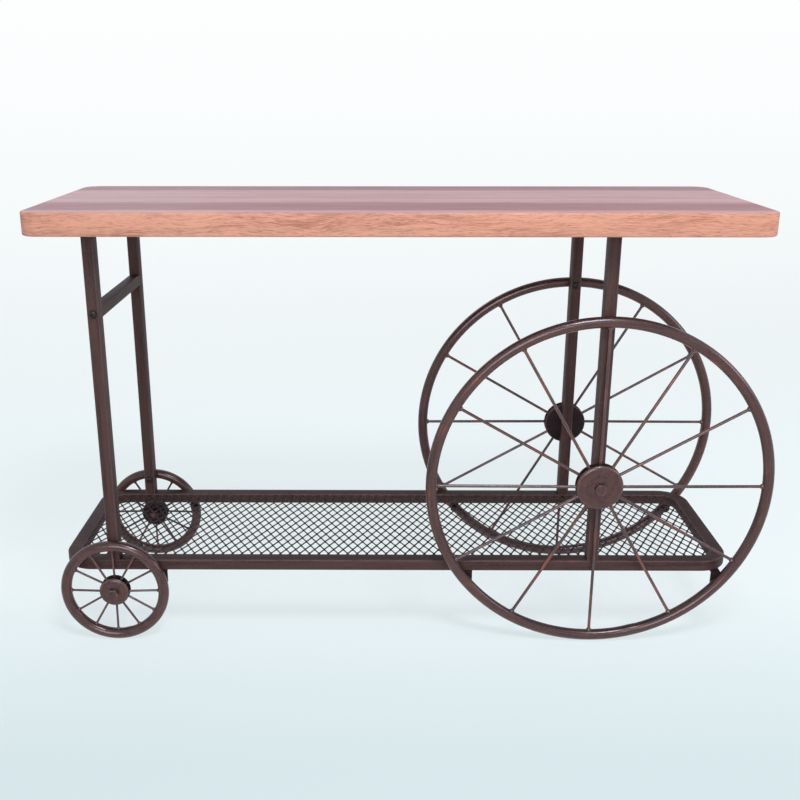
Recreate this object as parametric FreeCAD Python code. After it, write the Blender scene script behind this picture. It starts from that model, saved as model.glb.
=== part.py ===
import FreeCAD, Part
import math
import os
from FreeCAD import Vector

# Table top: a board with a bent strip of wood around its edge
top_length = 1200.0
top_depth = 410.0
top_thickness = 38.0
top_height = 772.0
top_corner_radius = 30.0
band_thickness = 3.0
band_edge_bevel = 2.0

# Steel tube of the legs and the shelf frame
tube_width = 20.0
tube_depth = 25.0
tube_wall = 1.5
tube_edge = 2.0
top_overhang = 44.0

# Mesh shelf: straight rails, bent ends and two crossing sets of strands
shelf_setback = 1.0
shelf_height = 152.0
shelf_bend_radius = 40.5
shelf_bend_tail = 15.0
mesh_drop = 1.0
mesh_pitch_along = 17.4
mesh_pitch_across = 32.4
strand_width = 2.4
strand_thickness = 1.5
shortest_strand = 12.0

# Handle of square tube between the two left legs
handle_side = 20.0
handle_height = 600.0
handle_end_wall = 4.0

# Wheels: rims of round tube, round spokes and flanged hubs
big_wheel_diameter = 600.0
small_wheel_diameter = 193.0
wheel_overhang = 50.0
rim_tube_diameter = 19.0
big_hub_diameter = 81.0
small_hub_diameter = 53.0
big_barrel_diameter = 44.0
small_barrel_diameter = 26.0
hub_width = 19.0
hub_disc_thickness = 4.0
hub_disc_bevel = 1.5
spoke_count = 12
big_spoke_diameter = 4.5
small_spoke_diameter = 3.5
spoke_lap = 9.0

# Tabs under the shelf frame that hold the rims, each with a foot against the frame
tab_width = 16.0
tab_thickness = 3.0
tab_foot = 18.0
tab_drop = 20.0
tab_below_bolt = 9.0
tab_corner = 5.0

# Plates on the leg tops, and the screws into the table top
plate_length = 64.0
plate_depth = 42.0
plate_thickness = 3.0
screw_spacing = 44.0
screw_diameter = 4.0
screw_head_diameter = 8.0
screw_head_height = 2.4
screw_grip = 16.0

# Bolts
bolt_diameter = 8.0
bolt_head_diameter = 14.0
bolt_crown_diameter = 8.0
bolt_head_height = 4.4
bolt_head_rim = 1.6
bolt_grip = 9.0
hub_bolt_diameter = 12.0
hub_bolt_across_flats = 19.0
hub_bolt_head_height = 11.0
hub_bolt_tail = 10.0
hub_nut_height = 7.0

# Fits, and the number of flats that make up each round form
clearance = 0.3
cut_past = 1.0
big_rim_steps = 60
small_rim_steps = 36
tube_sides = 12
disc_sides = 20
bolt_sides = 8
pin_sides = 6

# Places that follow from the sizes: X runs along the table, Y to the rear, and the floor is Z = 0
left_end = -(top_length + wheel_overhang) / 2
right_end = left_end + top_length
top_middle = (left_end + right_end) / 2
small_wheel_x = left_end + small_wheel_diameter / 2
big_wheel_x = right_end + wheel_overhang - big_wheel_diameter / 2
top_underside = top_height - top_thickness
leg_top = top_underside - plate_thickness
leg_face = top_depth / 2 - top_overhang
leg_middle = leg_face - tube_depth / 2
leg_inside = leg_face - tube_depth
rail_middle = shelf_height - tube_width / 2
rail_underside = shelf_height - tube_width
shelf_left = left_end + shelf_setback
shelf_right = right_end - shelf_setback
shelf_length = shelf_right - shelf_left
bend_reach = shelf_bend_radius + tube_depth / 2 + shelf_bend_tail
rail_start = shelf_left + bend_reach
rail_end = shelf_right - bend_reach
bolt_hole = bolt_diameter + 2 * clearance
hub_bolt_hole = hub_bolt_diameter + 2 * clearance
ALONG = Vector(1, 0, 0)
ACROSS = Vector(0, 1, 0)
UP = Vector(0, 0, 1)
ORIGIN = Vector()


def save(name, *solids):
    """Write one piece, or one group of like pieces, to a file of its own."""
    shape = solids[0] if len(solids) == 1 else Part.makeCompound(list(solids))
    shape.exportStep(f"parts/{name}.step")


def in_front(solid):
    """The front twin of a piece at the rear."""
    return solid.mirror(ORIGIN, ACROSS)


def save_pair(name, solid):
    """Write a rear piece and its front twin."""
    save(f"rear_{name}", solid)
    save(f"front_{name}", in_front(solid))


def save_twins(name, solids):
    """Write rear fasteners and their front twins as one group."""
    save(name, *solids, *[in_front(solid) for solid in solids])


def flat_face(corners):
    return Part.Face(Part.makePolygon(corners + corners[:1]))


def skin(rings, ends):
    """A solid whose flat faces join each ring of corners to the next one, and whose end faces close it."""
    faces = [flat_face(ring) for ring in ends]
    for near, far in zip(rings, rings[1:]):
        for side in range(len(near)):
            before = side - 1
            faces.append(flat_face([near[before], near[side], far[side], far[before]]))
    shell = Part.makeShell(faces)
    shell.sewShape()
    return Part.makeSolid(shell)


def facets(radius, sides):
    """Corners of a polygon whose flats lie at the radius."""
    corner = radius / math.cos(math.pi / sides)
    turns = [2 * math.pi * (step + 0.5) / sides for step in range(sides)]
    return [(corner * math.cos(turn), corner * math.sin(turn)) for turn in turns]


def turned(profile, sides):
    """A round piece along Y, from pairs of place and diameter."""
    rings = [[Vector(x, y, z) for x, z in facets(diameter / 2, sides)] for y, diameter in profile]
    return skin(rings, [rings[0], rings[-1]])


def pin(start, end, diameter, sides=pin_sides):
    """A plain round bar along Y."""
    return turned([(start, diameter), (end, diameter)], sides)


def block(length, depth, radius, z, height):
    """A slab with rounded upright corners around the top's middle."""
    corner = Vector(top_middle - length / 2, -depth / 2, z)
    slab = Part.makeBox(length, depth, height, corner)
    uprights = [edge for edge in slab.Edges if edge.BoundBox.ZLength > height / 2]
    return slab.makeFillet(radius, uprights)


def both_halves(points):
    """The face inside the points and their twins half a turn about Z away."""
    return flat_face(points + [-point for point in points])


def tube_outline(width, depth):
    """The outside of a tube, with eased corners."""
    half_width = width / 2
    half_depth = depth / 2
    return both_halves([
        Vector(half_width, tube_edge - half_depth, 0),
        Vector(half_width, half_depth - tube_edge, 0),
        Vector(half_width - tube_edge, half_depth, 0),
        Vector(tube_edge - half_width, half_depth, 0),
    ])


def bore_outline(width, depth):
    """The inside of a tube."""
    half_width = width / 2 - tube_wall
    half_depth = depth / 2 - tube_wall
    return both_halves([Vector(half_width, -half_depth, 0), Vector(half_width, half_depth, 0)])


def frame_tube(length):
    """Tube of the legs and the shelf frame that stands on the XY plane."""
    bore = bore_outline(tube_width, tube_depth).extrude(UP * length)
    return tube_outline(tube_width, tube_depth).extrude(UP * length).cut(bore)


def bolt(length):
    """A button head bolt whose head seats at Y = 0 and whose shank runs along +Y."""
    rim = [(-bolt_head_rim, bolt_head_diameter), (0, bolt_head_diameter)]
    head = turned([(-bolt_head_height, bolt_crown_diameter)] + rim, bolt_sides)
    return head.fuse(pin(0, length, bolt_diameter))


def screw():
    """A pan head wood screw that points up, with its head under Z = 0."""
    head = pin(-screw_head_height, 0, screw_head_diameter)
    shank = pin(0, plate_thickness + screw_grip, screw_diameter)
    return head.fuse(shank).rotated(ORIGIN, ALONG, 90)


def screw_places(x):
    """The two screws of the rear leg at x."""
    return [Vector(x + offset, leg_middle, leg_top) for offset in (-screw_spacing / 2, screw_spacing / 2)]


def screw_hole():
    """The clear space that a screw needs in its plate and in the table top."""
    diameter = screw_diameter + 2 * clearance
    return pin(-cut_past, plate_thickness + screw_grip + clearance, diameter).rotated(ORIGIN, ALONG, 90)


def make_top():
    """The board, its edge band and the screws that hold it."""
    inner_length = top_length - 2 * band_thickness
    inner_depth = top_depth - 2 * band_thickness
    inner_radius = top_corner_radius - band_thickness
    board = block(inner_length, inner_depth, inner_radius, top_underside, top_thickness)
    outer = block(top_length, top_depth, top_corner_radius, top_underside, top_thickness)
    arrises = [edge for edge in outer.Edges if edge.BoundBox.ZLength < top_thickness / 2]
    save("edge_band", outer.makeChamfer(band_edge_bevel, arrises).cut(board))

    places = screw_places(small_wheel_x) + screw_places(big_wheel_x)
    holes = [screw_hole().translated(place) for place in places]
    holes += [in_front(hole) for hole in holes]
    save("table_top", board.cut(holes))
    save_twins("top_screws", [screw().translated(place) for place in places])


def make_legs(end, x, holes):
    """The legs of one end with the plates on their tops; each stands on the shelf frame."""
    tube = frame_tube(leg_top - shelf_height).translated(Vector(x, leg_middle, shelf_height))
    save_pair(f"{end}_leg", tube.cut(holes))

    corner = Vector(x - plate_length / 2, leg_middle - plate_depth / 2, leg_top)
    plate = Part.makeBox(plate_length, plate_depth, plate_thickness, corner)
    screw_holes = [screw_hole().translated(place) for place in screw_places(x)]
    save_pair(f"{end}_leg_plate", plate.cut(screw_holes))


def make_handle():
    """The push handle: a tube with closed ends, bolted between the left legs."""
    length = 2 * leg_inside
    bore_length = length - 2 * handle_end_wall
    bar = tube_outline(handle_side, handle_side).extrude(UP * length)
    bore = bore_outline(handle_side, handle_side).extrude(UP * bore_length)
    handle = bar.cut(bore.translated(UP * handle_end_wall)).rotated(ORIGIN, ALONG, -90)
    handle = handle.translated(Vector(small_wheel_x, -leg_inside, handle_height))
    hole = pin(-leg_inside - cut_past, leg_inside + cut_past, bolt_hole)
    save("handle_bar", handle.cut(hole.translated(Vector(small_wheel_x, 0, handle_height))))

    fastener = bolt(tube_depth + bolt_grip).rotated(ORIGIN, UP, 180)
    save_twins("handle_bolts", [fastener.translated(Vector(small_wheel_x, leg_face, handle_height))])


def bent_end(joint_x, end_x):
    """One end of the shelf frame: a tube with two bends, from joint to joint."""
    outward = math.copysign(1, end_x - joint_x)
    side_x = end_x - outward * tube_depth / 2
    bend_x = side_x - outward * shelf_bend_radius
    bend_y = leg_middle - shelf_bend_radius
    slant = shelf_bend_radius * math.sqrt(0.5)
    start = Vector(joint_x, leg_middle, rail_middle)
    before = Vector(bend_x, leg_middle, rail_middle)
    midway = Vector(bend_x + outward * slant, bend_y + slant, rail_middle)
    after = Vector(side_x, bend_y, rail_middle)
    half = [Part.makeLine(start, before), Part.Arc(before, midway, after).toShape()]
    half.append(Part.makeLine(after, Vector(side_x, 0, rail_middle)))
    path = Part.Wire(half)
    sweeps = []
    for outline in (tube_outline, bore_outline):
        section = outline(tube_width, tube_depth).OuterWire.rotated(ORIGIN, ACROSS, 90)
        sweeps.append(path.makePipeShell([section.translated(start)], True, False))
    rear_half = sweeps[0].cut(sweeps[1])
    return rear_half.fuse(in_front(rear_half)).removeSplitter()


def make_shelf_frame():
    """Two straight rails between two bent ends."""
    rail = frame_tube(rail_end - rail_start).rotated(ORIGIN, ACROSS, 90)
    save_pair("shelf_rail", rail.translated(Vector(rail_start, leg_middle, rail_middle)))
    save("shelf_left_end", bent_end(rail_start, shelf_left))
    save("shelf_right_end", bent_end(rail_end, shelf_right))


def make_strands(name, lean, top):
    """One set of slanting strands, cut to the space inside the frame."""
    rim = tube_depth + clearance
    bottom = top - strand_thickness
    bend = shelf_bend_radius - tube_depth / 2 - clearance
    space = block(shelf_length - 2 * rim, 2 * (leg_face - rim), bend, bottom, strand_thickness)
    slide = lean * leg_inside * mesh_pitch_along / mesh_pitch_across
    half_width = strand_width / 2 * math.hypot(mesh_pitch_along, mesh_pitch_across) / mesh_pitch_across
    count = math.ceil((shelf_length / 2 + abs(slide)) / mesh_pitch_along)
    solids = []
    for step in range(-count, count + 1):
        x = top_middle + step * mesh_pitch_along
        corners = [
            Vector(x - slide - half_width, -leg_inside, bottom),
            Vector(x - slide + half_width, -leg_inside, bottom),
            Vector(x + slide + half_width, leg_inside, bottom),
            Vector(x + slide - half_width, leg_inside, bottom),
        ]
        strand = flat_face(corners).extrude(UP * strand_thickness).common(space)
        if strand.Volume > shortest_strand * strand_width * strand_thickness:
            solids += strand.Solids
    save(name, *solids)


def make_rim(diameter, steps, bolt_places):
    """A ring of round tube that stands on its lowest flat, with blind holes for its bolts."""
    tube_radius = rim_tube_diameter / 2
    ring_radius = diameter / 2 - tube_radius
    spread = math.cos(math.pi / steps)
    around = facets(tube_radius, tube_sides)
    section = [Vector((ring_radius + u) / spread, tube_radius + v, 0) for u, v in around]
    spins = [FreeCAD.Rotation(ACROSS, 360 * (step + 0.5) / steps) for step in range(steps)]
    rings = [[spin.multVec(corner) for corner in section] for spin in spins]
    ring = skin(rings + rings[:1], [])
    hole = pin(-cut_past, bolt_grip + clearance, bolt_hole)
    return ring.cut([hole.translated(place) for place in bolt_places])


def make_spokes(hub_diameter, rim_inside, spoke_diameter):
    """Round spokes that start under the outer and the inner hub disc by turns."""
    start = hub_diameter / 2 - spoke_lap
    seat = hub_disc_thickness + clearance + spoke_diameter / 2
    target = rim_tube_diameter / 2
    solids = []
    for step in range(spoke_count):
        level = seat if step % 2 else hub_width - seat
        run = rim_inside - clearance - start
        rise = math.degrees(math.atan2(target - level, run))
        spoke = pin(0, math.hypot(run, target - level), spoke_diameter).rotated(ORIGIN, UP, rise - 90)
        spoke = spoke.translated(Vector(start, level, 0))
        solids.append(spoke.rotated(ORIGIN, ACROSS, 360 * step / spoke_count))
    return Part.makeCompound(solids)


def make_hub(diameter, barrel_diameter):
    """Outer disc, inner disc and barrel of a hub, bored for its bolt."""
    narrow = diameter - 2 * hub_disc_bevel
    inner_end = hub_disc_thickness
    outer_start = hub_width - hub_disc_thickness
    outer_bevel = hub_width - hub_disc_bevel
    outer = turned([(outer_start, diameter), (outer_bevel, diameter), (hub_width, narrow)], disc_sides)
    inner = turned([(0, narrow), (hub_disc_bevel, diameter), (inner_end, diameter)], disc_sides)
    barrel = pin(inner_end, outer_start, barrel_diameter, tube_sides)
    bore = pin(-cut_past, hub_width + cut_past, hub_bolt_hole, tube_sides)
    return [piece.cut(bore) for piece in (outer, inner, barrel)]


def hexagon(start, end):
    """A hexagon along Y that lies on one of its flats."""
    return pin(start, end, hub_bolt_across_flats).rotated(ORIGIN, ACROSS, 180 / pin_sides)


def hub_bolt():
    """A hexagon bolt from the outer face of a hub to just past its inner face."""
    head = hexagon(hub_width, hub_width + hub_bolt_head_height)
    return head.fuse(pin(-hub_bolt_tail, hub_width, hub_bolt_diameter, tube_sides))


def hub_nut():
    nut = hexagon(-hub_nut_height, 0)
    return nut.cut(pin(-hub_nut_height - cut_past, cut_past, hub_bolt_hole, tube_sides))


def make_tab(x, bolt_z):
    """A tab from the rail down past the bolt, with clipped lower corners and a foot under the rail."""
    half = tab_width / 2
    low = bolt_z - tab_below_bolt
    outline = [
        Vector(x - half, -tab_thickness, rail_underside),
        Vector(x + half, -tab_thickness, rail_underside),
        Vector(x + half, -tab_thickness, low + tab_corner),
        Vector(x + half - tab_corner, -tab_thickness, low),
        Vector(x - half + tab_corner, -tab_thickness, low),
        Vector(x - half, -tab_thickness, low + tab_corner),
    ]
    plate = flat_face(outline).extrude(ACROSS * tab_thickness)
    corner = Vector(x - half, -tab_foot, rail_underside - tab_thickness)
    foot = Part.makeBox(tab_width, tab_foot, tab_thickness, corner)
    hole = pin(-tab_thickness - cut_past, cut_past, bolt_hole)
    return plate.fuse(foot).removeSplitter().cut(hole.translated(Vector(x, 0, bolt_z)))


def make_wheels(size, x, diameter, steps, hub_diameter, barrel_diameter, spoke_diameter, tabs):
    """A rear wheel and its front twin; the rims are bolted to the legs and to the tabs under the shelf."""
    ring_radius = (diameter - rim_tube_diameter) / 2
    axle = Vector(x, leg_face, diameter / 2)
    wall = Vector(0, leg_face, 0)
    tab_z = rail_underside - tab_drop
    tab_reach = math.sqrt(ring_radius ** 2 - (diameter / 2 - tab_z) ** 2)
    top_place = Vector(0, 0, ring_radius)
    tab_places = {}
    for side, turn in tabs.items():
        tab_places[side] = Vector(turn * tab_reach, 0, tab_z - diameter / 2)

    rim = make_rim(diameter, steps, [top_place, *tab_places.values()])
    save_pair(f"{size}_rim", rim.translated(axle))
    spokes = make_spokes(hub_diameter, ring_radius - rim_tube_diameter / 2, spoke_diameter)
    save_pair(f"{size}_spokes", spokes.translated(axle))
    for name, piece in zip(("outer_disc", "inner_disc", "barrel"), make_hub(hub_diameter, barrel_diameter)):
        save_pair(f"{size}_hub_{name}", piece.translated(axle))
    save_twins(f"{size}_hub_bolts", [hub_bolt().translated(axle)])

    for side, place in tab_places.items():
        save_pair(f"{size}_wheel_{side}_tab", make_tab(x + place.x, tab_z).translated(wall))
    tab_bolt = bolt(tab_thickness + bolt_grip).translated(-ACROSS * tab_thickness)
    save_twins(f"{size}_tab_bolts", [tab_bolt.translated(axle + place) for place in tab_places.values()])
    leg_bolt = bolt(tube_depth + bolt_grip).translated(-ACROSS * tube_depth)
    save_twins(f"{size}_rim_bolts", [leg_bolt.translated(axle + top_place)])


def leg_hole(x, z, diameter=bolt_hole, depth=tube_depth):
    """A hole from a rear leg's outer face inwards."""
    return pin(-depth - cut_past, cut_past, diameter).translated(Vector(x, leg_face, z))


def make_table():
    small_rim_top = small_wheel_diameter - rim_tube_diameter / 2
    big_rim_top = big_wheel_diameter - rim_tube_diameter / 2
    left_holes = [leg_hole(small_wheel_x, small_rim_top), leg_hole(small_wheel_x, handle_height)]
    axle_hole = leg_hole(big_wheel_x, big_wheel_diameter / 2, hub_bolt_hole, tube_wall)
    make_top()
    make_legs("left", small_wheel_x, left_holes)
    make_legs("right", big_wheel_x, [leg_hole(big_wheel_x, big_rim_top), axle_hole])
    make_handle()
    make_shelf_frame()
    mesh_top = shelf_height - mesh_drop
    make_strands("mesh_upper_strands", 1, mesh_top)
    make_strands("mesh_lower_strands", -1, mesh_top - strand_thickness)
    make_wheels(
        "small", small_wheel_x, small_wheel_diameter, small_rim_steps,
        small_hub_diameter, small_barrel_diameter, small_spoke_diameter, {"right": 1},
    )
    make_wheels(
        "big", big_wheel_x, big_wheel_diameter, big_rim_steps,
        big_hub_diameter, big_barrel_diameter, big_spoke_diameter, {"left": -1, "right": 1},
    )
    small_axle = Vector(small_wheel_x, leg_face, small_wheel_diameter / 2)
    save_twins("small_hub_nuts", [hub_nut().translated(small_axle)])


os.makedirs("parts", exist_ok=True)
make_table()
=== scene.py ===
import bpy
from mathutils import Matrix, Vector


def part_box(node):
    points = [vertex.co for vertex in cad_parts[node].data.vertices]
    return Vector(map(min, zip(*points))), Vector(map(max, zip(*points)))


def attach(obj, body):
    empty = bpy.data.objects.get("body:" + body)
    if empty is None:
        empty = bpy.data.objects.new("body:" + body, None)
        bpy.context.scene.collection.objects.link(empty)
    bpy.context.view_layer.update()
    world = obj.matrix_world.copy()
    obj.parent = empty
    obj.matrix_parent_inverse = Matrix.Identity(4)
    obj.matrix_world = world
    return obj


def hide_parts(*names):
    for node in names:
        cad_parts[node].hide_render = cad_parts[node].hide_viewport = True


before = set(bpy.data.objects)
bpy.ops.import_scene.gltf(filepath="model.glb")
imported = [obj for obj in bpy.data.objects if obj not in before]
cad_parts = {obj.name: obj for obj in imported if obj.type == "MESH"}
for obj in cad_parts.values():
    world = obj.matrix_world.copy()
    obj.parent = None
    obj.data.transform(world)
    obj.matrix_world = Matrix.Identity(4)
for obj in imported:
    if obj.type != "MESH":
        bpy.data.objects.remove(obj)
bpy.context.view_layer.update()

import math

import bmesh
import bpy
from bpy.props import FloatProperty, FloatVectorProperty, IntProperty, PointerProperty
from mathutils import Matrix, Vector

bl_info = {
    "name": "Cart Sofa Table",
    "version": (1, 0, 0),
    "blender": (4, 5, 0),
    "location": "View3D > Sidebar > Cart Table",
    "description": "Dresses a cart sofa table: wood top, bronze frame, mesh shelf and spoked wheels",
    "category": "Object",
}

SIDES = ("front", "rear")
SIZES = ("small", "big")
ENDS = ("left", "right")
CORNERS = [(side, end) for side in SIDES for end in ENDS]
WHEELS = [(side, size) for side in SIDES for size in SIZES]
HALF_TURN = Matrix.Rotation(math.pi, 4, "Z")
FULL_TURN = 2 * math.pi

# Angles, and tolerances in metres
CREASE = math.radians(38.0)
SHARP = 1.0
RIM_WELD_PLACE = math.radians(-104.0)
STRAND_ROLL = math.radians(8.0)
LEVEL = 1e-5
TINY = 1e-6

# Places of a Mix node's colour sockets, because their names stand there more than once
MIX_FACTOR, MIX_FIRST, MIX_SECOND, MIX_RESULT = 0, 6, 7, 2

# Number of steps that round the pieces
TOP_CORNER_STEPS = 16
BAND_ARRIS_STEPS = 5
SHELF_BEND_STEPS = 14
TUBE_EDGE_STEPS = 4
RIM_SIDES = 24
SPOKE_SIDES = 14
DISC_STEPS = 72
BARREL_STEPS = 48
BOLT_STEPS = 24
HEX_STEPS = 2
SWEEP_STEPS = 24

# Fine lengths in metres
WEAR_AND_HIGHLIGHT_REACH = 0.0007
RIM_WELD_LENGTH = 0.006
SPOKE_CLEARANCE = 0.0003
SPOKE_SINK = 0.002
DAB_SETBACK = 0.0015
STRAND_SINK = 0.002
KNUCKLE = (0.0025, 0.0050, 0.0014)
HUB_BORE = 0.0063
HEX_CORNER = 0.0006
HEX_CHAMFER = 0.0012
HEAD_SINK = 0.0008
NUT_HEIGHT = 0.0069
SHANK_RADIUS = 0.0059
TIP_RADIUS = 0.0052
TIP_START = -0.0090
TIP_END = -0.0098

# Shares of a larger size: the band's wall, the rim's radius, the spoke's diameter, the strand's
# thickness, and the bolt head's radius, height and socket
BAND_ARRIS_MOST = 0.98
RIM_WELD_SWELL = 0.005
DAB_SIZE = 0.95
DAB_FLATNESS = 0.9
STRAND_ARRIS = 0.3
SOCKET_WIDTH = 0.42
SOCKET_DEPTH = 0.35
SOCKET_FLAT = 0.9

# Places across the board, from its front to its rear, and how light it is painted there; the light strip at
# the front is a painted highlight along the top's front edge
BOARD_STRIPES = (
    (0.00, 0.75), (0.05, 0.80), (0.075, 0.45), (0.10, 0.10), (0.24, 0.05), (0.31, 0.20),
    (0.36, 0.75), (0.45, 0.90), (0.52, 0.70), (0.58, 0.85), (0.66, 0.75), (0.74, 0.90),
    (0.79, 0.75), (0.83, 0.15), (0.93, 0.10), (1.00, 0.25),
)

# Name, place, breadth in metres and power in watts
LAMPS = (
    ("key_light", (0.5, -1.7, 3.0), 0.8, 60.0),
    ("fill_light", (-0.9, -6.8, 2.2), 3.0, 195.0),
    ("back_light", (-1.6, 3.2, 2.6), 2.0, 16.0),
    ("side_light", (2.7, -0.6, 1.35), 0.8, 12.0),
)
LAMP_AIM = Vector((0, 0, 0.42))
LAMP_TINT = (0.95, 0.97, 1.0)
SKY_TINT = (0.93, 0.97, 1.0)
SKY_STRENGTH = 0.3
FLOOR_GLOW = 0.75


def length(name, description, default):
    """A length in metres that a user can change."""
    return FloatProperty(name=name, description=description, default=default, min=0.0, precision=4,
                         subtype="DISTANCE", unit="LENGTH")


def colour(name, description, default):
    """A linear colour that a user can change."""
    return FloatVectorProperty(name=name, description=description, default=default, size=3,
                               min=0.0, max=1.0, subtype="COLOR")


class CartTableSizes(bpy.types.PropertyGroup):
    """Sizes of the details that the scene adds to the frame."""

    top_corner: length("Top corner", "Radius of the table top's corners in plan", 0.030)
    band_arris: length("Band arris", "Rounding of the edge band's upper and lower edge", 0.004)
    tube_edge: length("Tube edge", "Rounding of the frame tube's edges", 0.0022)
    shelf_bend: length("Shelf bend", "Outer radius of the shelf frame's bends", 0.053)
    strand_width: length("Strand width", "Width of one strand of the mesh", 0.0025)
    strand_thickness: length("Strand thickness", "Thickness of one strand of the mesh", 0.0015)
    mesh_along: length("Mesh pitch along", "Distance between strands along the table", 0.0174)
    mesh_across: length("Mesh pitch across", "Length of one diamond across the table", 0.0324)
    big_spoke: length("Big spoke", "Diameter of the spokes in the big wheels", 0.0054)
    small_spoke: length("Small spoke", "Diameter of the spokes in the small wheels", 0.0040)
    spoke_lap: length("Spoke lap", "How far a spoke runs under its hub disc", 0.009)
    tab_thickness: length("Tab thickness", "Thickness of the tabs under the shelf frame", 0.003)
    rim_steps: IntProperty(name="Rim steps", description="Straight steps around a rim", default=144, min=24)
    spoke_count: IntProperty(name="Spokes", description="Spokes in each wheel", default=12, min=3)


class CartTableFinishes(bpy.types.PropertyGroup):
    """Colours of the woods, the bronze and the studio."""

    board_dark: colour("Board dark", "Darker stripes of the table top", (0.256, 0.094, 0.060))
    board_light: colour("Board light", "Lighter stripes of the table top", (0.525, 0.342, 0.285))
    edge_dark: colour("Edge dark", "Darker grain of the edge band", (0.30, 0.108, 0.060))
    edge_light: colour("Edge light", "Lighter grain of the edge band", (0.64, 0.292, 0.196))
    bronze_dark: colour("Bronze dark", "Darker tone of the bronze coat", (0.032, 0.019, 0.020))
    bronze_light: colour("Bronze light", "Lighter tone of the bronze coat", (0.083, 0.045, 0.039))
    # Painted highlight along the coat's rounded edges.
    bronze_edge_highlight: colour("Bronze pale", "Handled edges of the bronze coat", (0.105, 0.068, 0.068))
    bronze_warm: colour("Bronze warm", "Warmer tone of the coat on the rims and hubs", (0.100, 0.046, 0.038))
    copper: colour("Copper", "Copper that shows where the coat is worn", (0.235, 0.064, 0.036))
    bolt_black: colour("Bolt black", "Blackened steel of the small bolts", (0.016, 0.014, 0.015))
    floor_near: colour("Floor near", "Studio floor close to the camera", (0.70, 0.81, 0.835))
    floor_middle: colour("Floor middle", "Studio floor under the table", (0.87, 0.955, 0.972))
    floor_far: colour("Backdrop", "Top of the studio backdrop", (0.985, 0.99, 0.995))


class Shade:
    """A socket of a node tree that takes part in Python sums."""

    def __init__(self, tree, socket=None):
        self.tree = tree
        self.socket = socket

    def add(self, kind, settings=None, sockets=None, output=0):
        """Adds a node: its settings first, then the values or links of its sockets."""
        node = self.tree.nodes.new(kind)
        for name, value in (settings or {}).items():
            if name == "stops":
                fill_ramp(node.color_ramp, value)
            else:
                setattr(node, name, value)
        for name, value in (sockets or {}).items():
            if isinstance(value, Shade):
                self.tree.links.new(value.socket, node.inputs[name])
            else:
                node.inputs[name].default_value = value
        return Shade(self.tree, node.outputs[output]) if node.outputs else None

    def maths(self, operation, first, second):
        """A Math node on two values or links."""
        return self.add("ShaderNodeMath", {"operation": operation}, {0: first, 1: second})

    def __add__(self, other):
        return self.maths("ADD", self, other)

    def __radd__(self, other):
        return self.maths("ADD", other, self)

    def __sub__(self, other):
        return self.maths("SUBTRACT", self, other)

    def __rsub__(self, other):
        return self.maths("SUBTRACT", other, self)

    def __mul__(self, other):
        return self.maths("MULTIPLY", self, other)

    def __rmul__(self, other):
        return self.maths("MULTIPLY", other, self)

    def __truediv__(self, other):
        return self.maths("DIVIDE", self, other)

    def __rtruediv__(self, other):
        return self.maths("DIVIDE", other, self)

    def greater(self, other):
        """The greater of this and another value."""
        return self.maths("MAXIMUM", self, other)

    def ramp(self, low, high):
        """Rises smoothly from 0 at low to 1 at high."""
        return self.add("ShaderNodeMapRange", {"interpolation_type": "SMOOTHSTEP"},
                        {"Value": self, "From Min": low, "From Max": high})

    def mix(self, first, second):
        """The first colour where this is 0 and the second where it is 1."""
        return self.add("ShaderNodeMix", {"data_type": "RGBA"},
                        {MIX_FACTOR: self, MIX_FIRST: opaque(first), MIX_SECOND: opaque(second)}, MIX_RESULT)

    def part(self, axis):
        """One axis of a vector."""
        return self.add("ShaderNodeSeparateXYZ", sockets={0: self}, output=axis)

    def vector(self, operation, *others, output=0):
        """A Vector Math node on this vector and the others."""
        sockets = dict(enumerate((self, *others)))
        return self.add("ShaderNodeVectorMath", {"operation": operation}, sockets, output)

    def scaled(self, scale, location=(0, 0, 0)):
        """A vector times the scale on each axis, moved by the location."""
        return self.add("ShaderNodeMapping", sockets={"Vector": self, "Scale": scale, "Location": location})

    def noise(self, scale=1.0, detail=3.0, roughness=0.55, distortion=0.0):
        """Soft noise about 0.5."""
        return self.add("ShaderNodeTexNoise", sockets={"Vector": self, "Scale": scale, "Detail": detail,
                                                       "Roughness": roughness, "Distortion": distortion})


def opaque(value):
    """A colour with its alpha, or a link as it is."""
    return value if isinstance(value, Shade) else (*value, 1.0)


def fill_ramp(ramp, stops):
    """Sets a ramp's stops from pairs of place and colour."""
    while len(ramp.elements) > 1:
        ramp.elements.remove(ramp.elements[-1])
    for number, (place, tone) in enumerate(stops):
        element = ramp.elements[0] if number == 0 else ramp.elements.new(place)
        element.position = place
        element.color = opaque(tone)


def start_finish(name):
    """A new material, and the place on a piece that its nodes grow from."""
    finish = bpy.data.materials.new(name)
    finish.use_nodes = True
    finish.node_tree.nodes.clear()
    return finish, Shade(finish.node_tree).add("ShaderNodeTexCoord", output="Object")


def end_finish(base, roughness, height, relief, **steady):
    """Joins the finish to its surface: the steady values are set on the shader's own sockets."""
    bump = height.add("ShaderNodeBump", sockets={"Height": height, "Strength": 1.0, "Distance": relief})
    sockets = {"Base Color": base, "Roughness": roughness, "Normal": bump}
    sockets.update({name.replace("_", " "): value for name, value in steady.items()})
    surface = base.add("ShaderNodeBsdfPrincipled", sockets=sockets)
    surface.add("ShaderNodeOutputMaterial", sockets={"Surface": surface})


def wear_and_highlight_edges(place):
    """1 on the faces that mark_wear_and_highlight marks for edge wear and the painted highlight, 0
    elsewhere.
    """
    return place.add("ShaderNodeAttribute", {"attribute_name": "worn"}, output="Fac")


def extent(node):
    """The size of a CAD node's box along each axis."""
    low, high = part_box(node)
    return high - low


def middle(node):
    """The middle of a CAD node's box."""
    low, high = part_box(node)
    return (low + high) / 2


def along(*scale):
    """Streaks along the axes, long where the scale is small."""
    def streaks(place):
        return place.scaled(scale).noise(detail=4.0, roughness=0.6)
    return streaks


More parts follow.
